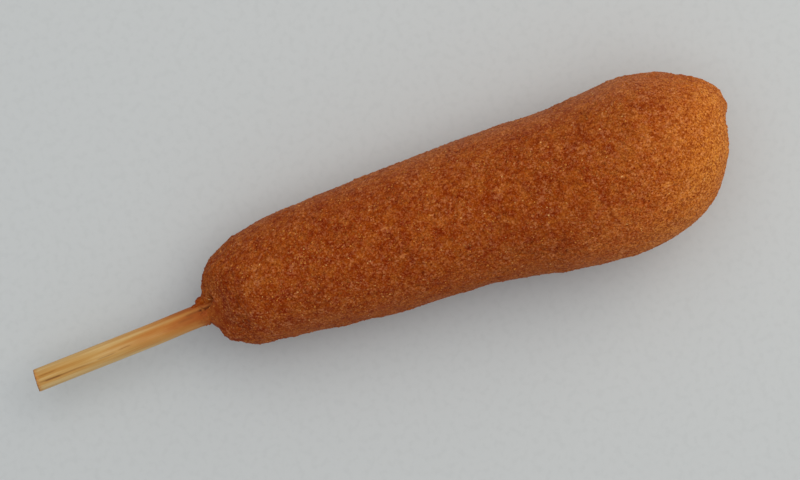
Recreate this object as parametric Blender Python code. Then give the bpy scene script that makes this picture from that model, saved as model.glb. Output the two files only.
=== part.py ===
"""A corn dog on a wooden stick, lying on its side.

Metres, +Z up. The battered sausage runs along X, with the stick's free end at -X and the fat, rounded
head at +X. The origin is at the middle of the bottom of the whole object's box, so Z = 0 is the surface
that the batter rests on.

The batter is turned from one profile, then its rings are moved onto the leaning axis, pressed a little
flat, roughened and set down on the table. The stick is a dowel in a socket bored into the batter.
While it is being made, x is the distance along the body from its neck, where the stick comes out.
"""

import math

import bmesh
import bpy
import numpy as np
from mathutils import Matrix, Vector, noise

# The body of fried batter, from its neck at x = 0 to its tip.
BODY_LENGTH = 0.1142
NECK_RADIUS = 0.0139
TAPER = 0.0029  # how much the radius grows evenly from neck to tip
HEAD_SWELL = 0.00175  # the extra radius of the head
HEAD_SWELL_AT = 0.0711
HEAD_SWELL_OVER = 0.0055
NECK_ROUNDING_LENGTH, NECK_ROUNDING_POWER = 0.0770, 4.40
TIP_ROUNDING_LENGTH, TIP_ROUNDING_POWER = 0.0234, 1.95
SECTION_HEIGHT_SHARE = 0.96  # a section's height as a share of its width

# How the body's middle line runs: it rises to the fat head, and waves a little from side to side.
AXIS_HEIGHT_AT_NECK = 0.0120
AXIS_RISE = math.radians(2.9)
AXIS_SIDEWAYS = 0.0003
# Each bend is (how far to +Y, place along x, how far along x it spreads).
AXIS_BENDS = ((-0.00060, 0.0058, 0.0034), (0.0003, 0.0197, 0.0067), (-0.0015, 0.0813, 0.0133))
TIP_LEAN = 0.0051  # how far the very tip leans to +Y
TIP_LEAN_LENGTH = 0.0154

# The stick, a round dowel that leans a little to the side.
STICK_DIAMETER = 0.0050
STICK_LENGTH = 0.1390
STICK_SHOWS = 0.0398
STICK_SIDEWAYS_AT_NECK = -0.00154
STICK_YAW = math.radians(2.95)
STICK_CHAMFER = 0.0003
SOCKET_GAP = 0.0003

# The neck, which stands square to the stick rather than to the body, so that its +Y side reaches back.
NECK_LEAN = 0.070
NECK_LEAN_LENGTH = 0.020
NECK_BLEND = 0.0040  # the rings move from the stick's axis to the body's over this length

# The collar of batter that runs out along the stick, further on the +Y side.
COLLAR_REACH = 0.00160
COLLAR_LEAN = 0.00110
COLLAR_RIM_THICKNESS = 0.00028
COLLAR_FOOT_RADIUS = 0.0040

# The unevenness of the fried surface: (height, wavelength) of each layer of noise.
WAVES = ((0.00018, 0.0110), (0.00010, 0.0046))
# Single lumps and dents: (place along x, angle round the body from +Y, height, reach).
LUMPS = (
    (0.1137, 20.0, 0.00075, 0.0016),
    (0.1130, -160.0, -0.00030, 0.0022),
    (0.1030, 0.0, 0.00030, 0.0036),
    (0.0940, 66.0, 0.00035, 0.0090),
    (0.0710, 184.0, 0.00035, 0.0026),
    (0.0770, 186.0, -0.00020, 0.0030),
    (0.0600, 4.0, 0.00025, 0.0070),
    (0.0570, 178.0, -0.00028, 0.0050),
    (0.0560, 118.0, -0.00025, 0.0060),
    (0.0360, 182.0, 0.00032, 0.0036),
    (0.0300, 176.0, -0.00030, 0.0024),
    (0.0300, 60.0, 0.00025, 0.0070),
    (0.0225, 5.0, -0.00025, 0.0040),
    (0.0210, 150.0, -0.00025, 0.0045),
    (0.0060, 20.0, -0.00025, 0.0030),
)

RING_SPACING = 0.00170
SEGMENTS = 58
STICK_SEGMENTS = 32

BATTER_COLOUR = (0.30, 0.085, 0.020, 1.0)
WOOD_COLOUR = (0.52, 0.30, 0.13, 1.0)


def clear_scene():
    """Removes whatever the file holds, so that only the corn dog is left."""
    for obj in list(bpy.data.objects):
        bpy.data.objects.remove(obj)


def make_material(name, colour, roughness):
    """A plain Principled material."""
    material = bpy.data.materials.new(name)
    material.use_nodes = True
    shader = material.node_tree.nodes["Principled BSDF"]
    shader.inputs["Base Color"].default_value = colour
    shader.inputs["Roughness"].default_value = roughness
    shader.inputs["Metallic"].default_value = 0.0
    return material


def smooth_step(value):
    """0 below 0, 1 above 1, and a smooth climb between."""
    value = min(max(value, 0.0), 1.0)
    return value * value * (3.0 - 2.0 * value)


def rounded_end(distance, length, power):
    """The share of the full radius at a distance from an end, along a quarter of a superellipse."""
    along = min(max(distance / length, 0.0), 1.0)
    return (1.0 - (1.0 - along) ** power) ** (1.0 / power)


def body_radius(x):
    """The tapered, swelling body with both ends rounded off."""
    swell = 1.0 / (1.0 + math.exp(-(x - HEAD_SWELL_AT) / HEAD_SWELL_OVER))
    straight = NECK_RADIUS + TAPER * x / BODY_LENGTH + HEAD_SWELL * swell
    neck = rounded_end(x, NECK_ROUNDING_LENGTH, NECK_ROUNDING_POWER)
    tip = rounded_end(BODY_LENGTH - x, TIP_ROUNDING_LENGTH, TIP_ROUNDING_POWER)
    return straight * neck * tip


def collar_radius(x):
    """The collar, a thin rim on the stick that flares out into the neck."""
    rim = STICK_DIAMETER / 2 + SOCKET_GAP + COLLAR_RIM_THICKNESS
    flare = min(max(1.0 + x / COLLAR_REACH, 0.0), 1.0)
    return rim + (COLLAR_FOOT_RADIUS - rim) * flare**2


def profile_radius(x):
    """Collar and body as one smooth outline, which ends in a point at the tip."""
    tip = rounded_end(BODY_LENGTH - x, TIP_ROUNDING_LENGTH, TIP_ROUNDING_POWER)
    return (body_radius(x) ** 4 + (collar_radius(x) * tip) ** 4) ** 0.25


def profile_points():
    """Points of the profile as (x, radius), evenly spaced along its outline."""
    fine = np.linspace(0.0, 1.0, 6001)
    x = -COLLAR_REACH + (BODY_LENGTH + COLLAR_REACH) * 0.5 * (1.0 - np.cos(np.pi * fine))
    radius = np.array([profile_radius(value) for value in x])
    radius[-1] = 0.0
    along = np.concatenate([[0.0], np.cumsum(np.hypot(np.diff(x), np.diff(radius)))])
    stations = np.linspace(0.0, along[-1], round(along[-1] / RING_SPACING) + 1)
    ring_x = np.interp(stations, along, x)
    ring_radius = np.interp(stations, along, radius)
    rim_centre = [(-COLLAR_REACH, 0.0)]
    return rim_centre + list(zip(ring_x.tolist(), ring_radius.tolist()))


def stick_direction():
    """The way the stick points, from the batter to its free end."""
    level = math.cos(AXIS_RISE)
    return Vector((-level * math.cos(STICK_YAW), -level * math.sin(STICK_YAW), -math.sin(AXIS_RISE)))


def stick_entry():
    """Where the stick's axis comes out of the neck."""
    return Vector((0.0, STICK_SIDEWAYS_AT_NECK, AXIS_HEIGHT_AT_NECK))


def body_axis(x):
    """The (y, z) of the body's middle line."""
    bends = sum(aside * math.exp(-(((x - at) / spread) ** 2)) for aside, at, spread in AXIS_BENDS)
    past = max(0.0, (x - BODY_LENGTH + TIP_LEAN_LENGTH) / TIP_LEAN_LENGTH)
    sideways = AXIS_SIDEWAYS + bends + TIP_LEAN * past**3
    return sideways, AXIS_HEIGHT_AT_NECK + math.tan(AXIS_RISE) * x


def ring_centre(x):
    """The (y, z) of a ring's middle: on the stick's axis at the collar, on the body's axis past the neck."""
    entry, direction = stick_entry(), stick_direction()
    on_stick = entry + direction * (x / direction.x)
    sideways, height = body_axis(x)
    share = smooth_step(x / NECK_BLEND)
    return on_stick.y + (sideways - on_stick.y) * share, on_stick.z + (height - on_stick.z) * share


def turned_place(x, angle):
    """The point of the turned body at this distance along it and this angle round it."""
    radius = profile_radius(x)
    return Vector((x, radius * math.cos(angle), radius * math.sin(angle)))


def unevenness(place):
    """How far the fried surface stands out from the turned body at this point of it."""
    height = sum(size * noise.noise(place / wavelength) for size, wavelength in WAVES)
    for x, angle, lump_height, reach in LUMPS:
        away = (place - turned_place(x, math.radians(angle))).length
        height += lump_height * math.exp(-((away / reach) ** 2))
    return height * smooth_step(place.x / NECK_BLEND)


def shape_point(turned, normal):
    """Moves one point of the turned body to its place on the uneven, leaning body."""
    uneven = turned + normal * unevenness(turned)
    x, radius = uneven.x, math.hypot(uneven.y, uneven.z)
    angle = math.atan2(uneven.z, uneven.y)
    centre_y, centre_z = ring_centre(x)
    lean = NECK_LEAN * uneven.y * (1.0 - smooth_step(x / NECK_LEAN_LENGTH))
    lean += COLLAR_LEAN * (uneven.y / COLLAR_FOOT_RADIUS) * min(max(-x / COLLAR_REACH, 0.0), 1.0)
    height_share = 1.0 + (SECTION_HEIGHT_SHARE - 1.0) * smooth_step(x / NECK_BLEND)
    y = centre_y + radius * math.cos(angle)
    z = centre_z + radius * math.sin(angle) * height_share
    return Vector((x - lean, y, max(z, 0.0)))


def make_batter(material):
    """Turns the profile about X, then shapes every point."""
    build = bmesh.new()
    corners = [build.verts.new((x, 0.0, radius)) for x, radius in profile_points()]
    outline = [build.edges.new(pair) for pair in zip(corners, corners[1:])]
    bmesh.ops.spin(
        build,
        geom=corners + outline,
        cent=(0.0, 0.0, 0.0),
        axis=(1.0, 0.0, 0.0),
        angle=math.tau,
        steps=SEGMENTS,
        use_duplicate=False,
    )
    bmesh.ops.remove_doubles(build, verts=build.verts, dist=1e-6)
    bmesh.ops.recalc_face_normals(build, faces=build.faces)
    for corner in build.verts:
        corner.co = shape_point(corner.co, corner.normal)
    bmesh.ops.triangulate(build, faces=build.faces)
    bmesh.ops.recalc_face_normals(build, faces=build.faces)
    return finish_mesh("batter", build, material)


def make_dowel(name, diameter, start, end, material):
    """A round dowel whose two ends lie at these distances along the stick from where it comes out."""
    build = bmesh.new()
    bmesh.ops.create_cone(
        build,
        cap_ends=True,
        segments=STICK_SEGMENTS,
        radius1=diameter / 2,
        radius2=diameter / 2,
        depth=end - start,
    )
    dowel = finish_mesh(name, build, material)
    direction = stick_direction()
    middle = stick_entry() + direction * (start + end) / 2
    dowel.matrix_world = Matrix.Translation(middle) @ direction.to_track_quat("Z", "Y").to_matrix().to_4x4()
    return dowel


def finish_mesh(name, build, material):
    """Makes a smooth-shaded object of a bmesh."""
    mesh = bpy.data.meshes.new(name)
    build.to_mesh(mesh)
    build.free()
    mesh.materials.append(material)
    mesh.shade_smooth()
    mesh.set_sharp_from_angle(angle=math.radians(40.0))
    obj = bpy.data.objects.new(name, mesh)
    bpy.context.scene.collection.objects.link(obj)
    return obj


def bore_socket(batter):
    """Bores the stick's blind socket into the batter."""
    blind_end = STICK_SHOWS - STICK_LENGTH - SOCKET_GAP
    past_collar = 4 * COLLAR_REACH
    width = STICK_DIAMETER + 2 * SOCKET_GAP
    bore = make_dowel("socket_cutter", width, blind_end, past_collar, batter.data.materials[0])
    bore.hide_render = True
    bore.display_type = "WIRE"
    cut = batter.modifiers.new("socket", "BOOLEAN")
    cut.operation = "DIFFERENCE"
    cut.solver = "EXACT"
    cut.object = bore
    return bore


def make_stick(material):
    """The dowel, with the sharp edge of both cut ends taken off."""
    stick = make_dowel("stick", STICK_DIAMETER, STICK_SHOWS - STICK_LENGTH, STICK_SHOWS, material)
    edge = stick.modifiers.new("eased_ends", "BEVEL")
    edge.width = STICK_CHAMFER
    edge.segments = 2
    edge.limit_method = "ANGLE"
    edge.angle_limit = math.radians(60.0)
    return stick


def put_origin_under_middle(shown, moved):
    """Moves everything so that the origin is at the middle of the bottom of the shown objects' box."""
    bpy.context.view_layer.update()
    graph = bpy.context.evaluated_depsgraph_get()
    corners = []
    for obj in shown:
        evaluated = obj.evaluated_get(graph)
        corners += [evaluated.matrix_world @ corner.co for corner in evaluated.data.vertices]
    low = Vector([min(corner[axis] for corner in corners) for axis in range(3)])
    high = Vector([max(corner[axis] for corner in corners) for axis in range(3)])
    middle = Vector(((low.x + high.x) / 2, (low.y + high.y) / 2, low.z))
    for obj in moved:
        obj.location -= middle


def main():
    clear_scene()
    batter = make_batter(make_material("fried_batter", BATTER_COLOUR, 0.65))
    bore = bore_socket(batter)
    stick = make_stick(make_material("pale_wood", WOOD_COLOUR, 0.6))
    put_origin_under_middle([batter, stick], [batter, stick, bore])


main()
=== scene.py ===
"""The looks of a corn dog on a stick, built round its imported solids.

The batter's solid is replaced by a fried crust with its real relief, grains of cornmeal half sunk in it,
and a tongue and crumbs of batter where it grips the stick. The stick's solid is replaced by a dowel with
open grain, fine cracks and a frayed, sawn end. Both keep the form of what they replace.

Sizes are in metres, in the frame of the solids: +X runs from the stick's free end to the fat head, and the
corn dog rests on Z = 0. Angles round the stick start at its +Y side and grow upward.
"""

from __future__ import annotations

import logging
import math
import sys
from contextlib import contextmanager
from dataclasses import dataclass, field
from enum import Enum
from typing import Any, Callable, Iterator, Mapping, Sequence

import bmesh
import bpy
import numpy as np
from mathutils import Matrix, Vector, noise
from mathutils.bvhtree import BVHTree

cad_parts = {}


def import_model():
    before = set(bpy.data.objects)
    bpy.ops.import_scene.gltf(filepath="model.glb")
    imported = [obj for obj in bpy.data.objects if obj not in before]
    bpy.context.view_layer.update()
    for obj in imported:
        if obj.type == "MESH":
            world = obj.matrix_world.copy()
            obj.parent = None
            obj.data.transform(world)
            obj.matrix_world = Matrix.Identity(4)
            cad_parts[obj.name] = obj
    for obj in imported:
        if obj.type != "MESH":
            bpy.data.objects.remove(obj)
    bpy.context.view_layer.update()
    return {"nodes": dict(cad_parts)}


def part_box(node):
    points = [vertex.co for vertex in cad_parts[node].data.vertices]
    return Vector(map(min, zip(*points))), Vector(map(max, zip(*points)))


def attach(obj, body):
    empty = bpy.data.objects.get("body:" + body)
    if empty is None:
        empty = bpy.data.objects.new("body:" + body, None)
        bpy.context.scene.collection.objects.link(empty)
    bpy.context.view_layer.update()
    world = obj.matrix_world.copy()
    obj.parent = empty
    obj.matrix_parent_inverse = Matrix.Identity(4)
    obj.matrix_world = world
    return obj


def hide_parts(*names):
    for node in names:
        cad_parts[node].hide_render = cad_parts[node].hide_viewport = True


LOG = logging.getLogger("corn_dog")
BODY = "root"
MM = 0.001

Colour = tuple[float, float, float]


def tone(red: int, green: int, blue: int) -> Colour:
    """A colour for a shader, from the usual display values.

    Args:
        red: the red value, 0 to 255.
        green: the green value, 0 to 255.
        blue: the blue value, 0 to 255.

    Returns:
        The same colour in scene-linear values.
    """
    parts = []
    for part in (red, green, blue):
        share = part / 255.0
        parts.append(share / 12.92 if share <= 0.04045 else ((share + 0.055) / 1.055) ** 2.4)
    return (parts[0], parts[1], parts[2])


def smooth_step(values: np.ndarray) -> np.ndarray:
    """A smooth climb from 0 at 0 to 1 at 1, for each value."""
    held = np.clip(values, 0.0, 1.0)
    return held * held * (3.0 - 2.0 * held)


def climb(values: np.ndarray, start: float, end: float | np.ndarray) -> np.ndarray:
    """Goes smoothly from 0 where a value is start to 1 where it is end, which may be the lower one."""
    return smooth_step((values - start) / (end - start))


def between(
    values: np.ndarray, low: float, low_full: float, high_full: float, high: float
) -> np.ndarray:
    """Smoothly 1 in the middle of a range of values and 0 outside it.

    Args:
        values: the values.
        low: the range's lower end.
        low_full: how high a value has to be to be well inside the lower end.
        high_full: how low it has to be to be well inside the upper end.
        high: the range's upper end.

    Returns:
        The share for each value, 0 to 1.
    """
    return climb(values, low, low_full) * climb(values, high, high_full)


def bell(distances: np.ndarray, width: float) -> np.ndarray:
    """A smooth hump that is 1 where the distance is 0 and falls away over this width."""
    return np.exp(-((distances / width) ** 2))


def soft_noise(
    places: np.ndarray, width: float = 1.0, shift: Sequence[float] = (0.0, 0.0, 0.0)
) -> np.ndarray:
    """Soft noise at places in space.

    Args:
        places: where to read it, one row each.
        width: how wide its features are.
        shift: moves the pattern, in feature widths.

    Returns:
        The noise at each place, about -1 to 1.
    """
    return np.array([noise.noise(Vector(place) / width + Vector(shift)) for place in places])


def unrolled(along: np.ndarray, angle: np.ndarray, lengthwise: float, around: float) -> np.ndarray:
    """Coordinates for noise on the stick, which join up all round it.

    Args:
        along: the places' distances along the stick.
        angle: where they are round it.
        lengthwise: how fast the coordinates run along it.
        around: how far they reach round it.

    Returns:
        The coordinates, one row each.
    """
    return np.column_stack([along * lengthwise, np.cos(angle) * around, np.sin(angle) * around])


def angle_round(outward: np.ndarray) -> np.ndarray:
    """The angle round the stick of each way out from its axis."""
    return np.arctan2(outward[:, 2], outward[:, 1])


# --- Modelling -------------------------------------------------------------------------------------------


class Bench:
    """Blender's modelling operators, used on one piece at a time."""

    @staticmethod
    def clear_selection() -> None:
        """Leaves nothing selected, so that an operator can't reach another piece."""
        for thing in bpy.context.selected_objects:
            thing.select_set(False)

    @staticmethod
    def take(piece: bpy.types.Object) -> None:
        """Makes one piece the only selected and the active one."""
        Bench.clear_selection()
        piece.select_set(True)
        bpy.context.view_layer.objects.active = piece

    @staticmethod
    def name(piece_name: str) -> bpy.types.Object:
        """Names the active object and its mesh.

        Args:
            piece_name: the new name.

        Returns:
            The named object.
        """
        piece = bpy.context.object
        piece.name = piece_name
        piece.data.name = piece_name
        return piece

    @staticmethod
    def ball(
        piece_name: str, fineness: int, radius: float = 1.0, place: Sequence[float] = (0.0, 0.0, 0.0)
    ) -> bpy.types.Object:
        """Adds a ball of even triangles.

        Args:
            piece_name: its name.
            fineness: how many times its triangles are split, from 1 up.
            radius: its radius.
            place: its middle.

        Returns:
            The ball.
        """
        Bench.clear_selection()
        bpy.ops.mesh.primitive_ico_sphere_add(subdivisions=fineness, radius=radius, location=place)
        return Bench.name(piece_name)

    @staticmethod
    def join(parts: Sequence[bpy.types.Object], piece_name: str) -> bpy.types.Object:
        """Joins parts into one piece.

        Args:
            parts: the parts.
            piece_name: the piece's name.

        Returns:
            The piece.
        """
        Bench.take(parts[0])
        for part in parts[1:]:
            part.select_set(True)
        bpy.ops.object.join()
        return Bench.name(piece_name)

    @staticmethod
    @contextmanager
    def editing(piece: bpy.types.Object, mode: str = "FACE") -> Iterator[None]:
        """Holds a piece in edit mode for the operators inside the with block.

        Args:
            piece: the piece to edit.
            mode: what is selected there: VERT, EDGE or FACE.
        """
        Bench.take(piece)
        bpy.ops.object.mode_set(mode="EDIT")
        bpy.ops.mesh.select_mode(type=mode)
        try:
            yield
        finally:
            bpy.ops.object.mode_set(mode="OBJECT")

    @staticmethod
    def select(piece: bpy.types.Object, kind: str, wanted: Callable[[Any], bool]) -> None:
        """Selects, in edit mode, the faces or edges that pass a test, and no others.

        Args:
            piece: the piece in edit mode.
            kind: what to select: "faces" or "edges".
            wanted: the test.
        """
        bpy.ops.mesh.select_all(action="DESELECT")
        mesh = bmesh.from_edit_mesh(piece.data)
        for chosen in filter(wanted, getattr(mesh, kind)):
            chosen.select_set(True)
        bmesh.update_edit_mesh(piece.data)

    @staticmethod
    def face_outward() -> None:
        """Makes all the faces of the piece in edit mode face outward."""
        bpy.ops.mesh.select_all(action="SELECT")
        bpy.ops.mesh.normals_make_consistent(inside=False)

    @staticmethod
    def settle(piece: bpy.types.Object) -> None:
        """Applies a piece's place, turn and scale to its mesh."""
        Bench.take(piece)
        bpy.ops.object.transform_apply(location=True, rotation=True, scale=True)

    @staticmethod
    def modify(piece: bpy.types.Object, kind: str, **settings: Any) -> None:
        """Adds a modifier and applies it.

        Args:
            piece: the piece to change.
            kind: the modifier's type.
            **settings: the modifier's properties.
        """
        Bench.take(piece)
        modifier = piece.modifiers.new(kind.lower(), kind)
        for key, value in settings.items():
            setattr(modifier, key, value)
        bpy.ops.object.modifier_apply(modifier=modifier.name)

    @staticmethod
    def points(piece: bpy.types.Object) -> np.ndarray:
        """The corners of a piece's mesh, one row each."""
        flat = np.empty(len(piece.data.vertices) * 3)
        piece.data.vertices.foreach_get("co", flat)
        return flat.reshape(-1, 3)

    @staticmethod
    def move_points(piece: bpy.types.Object, points: np.ndarray) -> None:
        """Puts the corners of a piece's mesh at new places."""
        piece.data.vertices.foreach_set("co", points.ravel())
        piece.data.update()

    @staticmethod
    def normals(piece: bpy.types.Object) -> np.ndarray:
        """The way the surface faces at each corner, one row each."""
        flat = np.empty(len(piece.data.vertices) * 3)
        piece.data.vertex_normals.foreach_get("vector", flat)
        return flat.reshape(-1, 3)

    @staticmethod
    def paint(piece: bpy.types.Object, **attributes: np.ndarray | float) -> None:
        """Keeps numbers for the corners of a piece, for its material to read.

        Args:
            piece: the piece.
            **attributes: for each name that the material reads, one number for each corner, or one for all.
        """
        for name, values in attributes.items():
            layer = piece.data.attributes.new(name, "FLOAT", "POINT")
            spread = np.broadcast_to(values, len(piece.data.vertices))
            layer.data.foreach_set("value", spread.astype(np.float32))

    @staticmethod
    def group(piece: bpy.types.Object, name: str, weights: np.ndarray) -> None:
        """Keeps a weight for each corner of a piece, for its modifiers to read.

        Args:
            piece: the piece.
            name: the vertex group's name.
            weights: one weight for each corner, 0 to 1; they are kept in steps of a fiftieth.
        """
        fineness = 50.0
        weighted = piece.vertex_groups.new(name=name)
        steps = np.round(np.clip(weights, 0.0, 1.0) * fineness).astype(int)
        for step in np.unique(steps):
            corners = np.flatnonzero(steps == step).tolist()
            weighted.add(corners, step / fineness, "REPLACE")

    @staticmethod
    def finish(piece: bpy.types.Object, material: bpy.types.Material) -> None:
        """Gives a piece its only material and smooth shading."""
        piece.data.materials.clear()
        piece.data.materials.append(material)
        for polygon in piece.data.polygons:
            polygon.use_smooth = True


@dataclass(frozen=True)
class Relief:
    """One layer of a piece's relief.

    Attributes:
        name: what it is.
        size: how wide its features are.
        depth: how deep its whole range is.
        level: the texture's value that leaves the surface where it is.
        group: the vertex group that says where it shows, or none for everywhere.
        settings: the texture's other properties.
    """

    name: str
    size: float
    depth: float
    level: float = 0.5
    group: str = ""
    settings: Mapping[str, Any] = field(default_factory=dict)

    def raise_on(self, piece: bpy.types.Object) -> None:
        """Raises this layer on a piece."""
        texture = bpy.data.textures.new(self.name, "CLOUDS")
        texture.noise_scale = self.size
        for key, value in self.settings.items():
            setattr(texture, key, value)
        Bench.modify(
            piece,
            "DISPLACE",
            texture=texture,
            texture_coords="LOCAL",
            strength=self.depth,
            mid_level=self.level,
            vertex_group=self.group,
        )


# --- Shader maths ----------------------------------------------------------------------------------------


class Amount:
    """A number that varies over a surface. Arithmetic on it adds Math nodes."""

    def __init__(self, shader: Shader, socket: bpy.types.NodeSocket) -> None:
        """Wraps a socket of a shader's node."""
        self.shader = shader
        self.socket = socket

    def _math(self, operation: str, first: Any, second: Any) -> Amount:
        """Adds one Math node on two amounts or numbers."""
        settings = {"operation": operation}
        return self.shader.node("ShaderNodeMath", settings, {0: first, 1: second}).amount()

    def __add__(self, other: Amount | float) -> Amount:
        """The sum."""
        return self._math("ADD", self, other)

    __radd__ = __add__

    def __sub__(self, other: Amount | float) -> Amount:
        """The difference."""
        return self._math("SUBTRACT", self, other)

    def __rsub__(self, other: Amount | float) -> Amount:
        """The difference, taken the other way round."""
        return self._math("SUBTRACT", other, self)

    def __mul__(self, other: Amount | float) -> Amount:
        """The product."""
        return self._math("MULTIPLY", self, other)

    def rise(self, start: float, end: float) -> Amount:
        """Goes smoothly from 0 where this is start to 1 where it is end.

        Args:
            start: the value that gives 0.
            end: the value that gives 1; below start, the amount falls instead.

        Returns:
            The share from 0 to 1.
        """
        if end < start:
            return 1.0 - self.rise(end, start)
        settings = {"interpolation_type": "SMOOTHSTEP"}
        sockets = {"Value": self, "From Min": start, "From Max": end}
        return self.shader.node("ShaderNodeMapRange", settings, sockets).amount()


class AddedNode:
    """A node in a shader, with its outputs by name."""

    def __init__(self, shader: Shader, node: bpy.types.Node) -> None:
        """Wraps a node."""
        self.shader = shader
        self.node = node

    def amount(self, output: str | int = 0) -> Amount:
        """One output as a number."""
        return Amount(self.shader, self.node.outputs[output])

    def colour(self, output: str | int) -> bpy.types.NodeSocket:
        """One output as a colour or a vector."""
        return self.node.outputs[output]


class Shader:
    """One material's nodes, round its Principled shader."""

    def __init__(self, name: str) -> None:
        """Starts a material with nothing but its Principled shader."""
        self.material = bpy.data.materials.new(name)
        self.material.use_nodes = True
        self.tree = self.material.node_tree
        self.surface = self.tree.nodes["Principled BSDF"]
        self.place = self.node("ShaderNodeTexCoord").colour("Object")

    def node(
        self,
        kind: str,
        settings: Mapping[str, Any] | None = None,
        sockets: Mapping[str | int, Any] | None = None,
    ) -> AddedNode:
        """Adds a node.

        Args:
            kind: the node's type.
            settings: its properties, set first; "stops" are a ramp's (place, colour) pairs.
            sockets: a value or a link for each named or numbered input.

        Returns:
            The node.
        """
        added = self.tree.nodes.new(kind)
        for key, value in (settings or {}).items():
            if key == "stops":
                self._set_stops(added, value)
            else:
                setattr(added, key, value)
        for key, value in (sockets or {}).items():
            self.feed(added.inputs[key], value)
        return AddedNode(self, added)

    @staticmethod
    def _set_stops(ramp: bpy.types.Node, stops: Sequence[tuple[float, Colour]]) -> None:
        """Sets the stops of a colour ramp, in their order."""
        elements = ramp.color_ramp.elements
        while len(elements) < len(stops):
            elements.new(1.0)
        for element, (place, colour) in zip(elements, stops):
            element.position = place
            element.color = (*colour, 1.0)

    def feed(self, socket: bpy.types.NodeSocket, value: Any) -> None:
        """Links an amount or a socket to an input, or sets the input's own value."""
        if isinstance(value, Amount):
            self.tree.links.new(value.socket, socket)
        elif isinstance(value, bpy.types.NodeSocket):
            self.tree.links.new(value, socket)
        elif isinstance(value, tuple) and socket.type == "RGBA":
            socket.default_value = (*value, 1.0)
        else:
            socket.default_value = value

    def surface_is(self, **sockets: Any) -> None:
        """Feeds the Principled shader: each name is a socket's, with _ for a space."""
        for key, value in sockets.items():
            self.feed(self.surface.inputs[key.replace("_", " ")], value)

    def axes(self) -> AddedNode:
        """Object coordinates, as the amounts X, Y and Z."""
        return self.node("ShaderNodeSeparateXYZ", None, {0: self.place})

    def mapped(self, place: bpy.types.NodeSocket, **sockets: tuple[float, ...]) -> bpy.types.NodeSocket:
        """Coordinates that are moved, turned or scaled.

        Args:
            place: the coordinates.
            **sockets: the Mapping node's Location, Rotation or Scale.

        Returns:
            The new coordinates.
        """
        return self.node("ShaderNodeMapping", None, {"Vector": place, **sockets}).colour("Vector")

    def shaken(self, reach: float, width: float, seed: float) -> bpy.types.NodeSocket:
        """Object coordinates pushed about at random, so that a pattern on them is irregular.

        Args:
            reach: how far they are pushed.
            width: how wide the pushes are.
            seed: moves the pattern.

        Returns:
            The new coordinates.
        """
        pushed_at = self.mapped(self.place, Location=(seed, -seed, seed))
        given = {"Vector": pushed_at, "Scale": 1.0 / width, "Detail": 1.0}
        push = self.node("ShaderNodeTexNoise", None, given).colour("Color")
        start = self.mapped(self.place, Location=(seed, seed, -seed))
        sockets = {0: push, 1: (reach, reach, reach), 2: start}
        return self.node("ShaderNodeVectorMath", {"operation": "MULTIPLY_ADD"}, sockets).colour("Vector")

    def noise(self, place: bpy.types.NodeSocket, width: float, detail: float, roughness: float) -> Amount:
        """Soft noise at these coordinates.

        Args:
            place: the coordinates.
            width: how wide its features are.
            detail: how many finer layers it has.
            roughness: how strong those layers are.

        Returns:
            The noise, 0 to 1.
        """
        given = {"Vector": place, "Scale": 1.0 / width, "Detail": detail, "Roughness": roughness}
        return self.node("ShaderNodeTexNoise", None, given).amount("Fac")

    def clouds(self, width: float, detail: float = 2.0, seed: float = 0.0, roughness: float = 0.5) -> Amount:
        """Soft noise in object coordinates, moved by a seed so that no two patterns match up.

        Args:
            width: how wide its features are.
            detail: how many finer layers it has.
            seed: moves the pattern.
            roughness: how strong its finer layers are.

        Returns:
            The noise, 0 to 1 and about 0.5 on average.
        """
        place = self.mapped(self.place, Location=(seed, seed * 0.7, -seed))
        return self.noise(place, width, detail, roughness)

    def grains(self, width: float, seed: float) -> tuple[Amount, Amount]:
        """A pattern of packed, irregular grains.

        Args:
            width: how wide a grain is.
            seed: moves the pattern.

        Returns:
            How far each point is from its grain's middle, in grain widths, and the grain's own random share.
        """
        given = {"Vector": self.shaken(0.9 * width, 1.3 * width, seed), "Scale": 1.0 / width}
        pattern = self.node("ShaderNodeTexVoronoi", {"feature": "F1"}, given)
        share = self.node("ShaderNodeSeparateColor", None, {0: pattern.colour("Color")}).amount("Red")
        return pattern.amount("Distance"), share

    def layered(self, colour: Any, *layers: tuple[Any, Amount]) -> bpy.types.NodeSocket:
        """Lays colours over one another.

        Args:
            colour: the lowest colour.
            *layers: each colour above it, and the share of it that there is.

        Returns:
            The colour that they make.
        """
        for upper, share in layers:
            sockets = {0: share, 6: colour, 7: upper}
            colour = self.node("ShaderNodeMix", {"data_type": "RGBA"}, sockets).colour(2)
        return colour

    def ramp(self, amount: Amount, stops: Sequence[tuple[float, Colour]]) -> bpy.types.NodeSocket:
        """Turns a number into a colour."""
        return self.node("ShaderNodeValToRGB", {"stops": stops}, {"Fac": amount}).colour("Color")

    def painted(self, attribute: str) -> Amount:
        """A number that the piece keeps for each corner."""
        return self.node("ShaderNodeAttribute", {"attribute_name": attribute}).amount("Fac")

    def bump(self, height: Amount, depth: float, strength: float) -> bpy.types.NodeSocket:
        """A bumped normal.

        Args:
            height: the height, 0 to 1.
            depth: how deep the whole range is.
            strength: how strongly it shows.

        Returns:
            The normal.
        """
        given = {"Height": height, "Distance": depth, "Strength": strength}
        return self.node("ShaderNodeBump", None, given).colour("Normal")


# --- Finishes --------------------------------------------------------------------------------------------


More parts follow.
